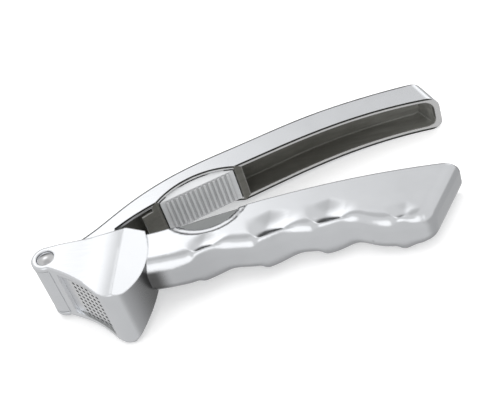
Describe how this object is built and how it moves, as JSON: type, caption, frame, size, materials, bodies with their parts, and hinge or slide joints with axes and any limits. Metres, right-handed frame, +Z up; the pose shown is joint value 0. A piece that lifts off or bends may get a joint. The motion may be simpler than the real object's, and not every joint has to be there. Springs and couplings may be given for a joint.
{
  "type": "garlic press",
  "caption": "Hand-held garlic press: hinged channel-shaped lever with a plunger, scalloped lower handle with a sieve hopper, and a ribbed cleaning tool kept in the lever.",
  "frame": {"origin": "on the surface that the press lies on, under the middle of its outline", "axes": "+X from the hinge along the lower handle to its end, +Y from the lower handle towards the upper handle, +Z up along the hinge pin"},
  "size_m": [0.1781, 0.0906, 0.031],
  "materials": {
    "cast_aluminium": "satin, polished after die casting",
    "plunger_aluminium": "as cast, lightly blasted",
    "sieve_steel": "punched and brushed",
    "polished_steel": "polished",
    "grey_plastic": "satin moulded"
  },
  "bodies": {
    "base": {"lower_handle": "cast_aluminium", "sieve_plate": "sieve_steel", "hinge_pin": "polished_steel", "hinge_pin_cap": "polished_steel"},
    "lever": {"upper_handle": "cast_aluminium", "plunger_pin": "polished_steel"},
    "plunger": {"plunger": "plunger_aluminium"},
    "cleaner": {"cleaner": "grey_plastic"}
  },
  "joints": [
    {"name": "handle_hinge", "type": "hinge", "parent": "base", "child": "lever", "pos_m": [-0.08285, -0.01726, 0.0155], "axis": [0, 0, 1], "range_deg": [-8, 100]},
    {"name": "plunger_rock", "type": "hinge", "parent": "lever", "child": "plunger", "pos_m": [-0.05969, -0.01756, 0.0155], "axis": [0, 0, 1], "range_deg": [-2.5, 2.5]},
    {"name": "cleaner_pull", "type": "slide", "parent": "lever", "child": "cleaner", "axis": [0.3154, -0.949, 0], "range_m": [0, 0.006]}
  ]
}
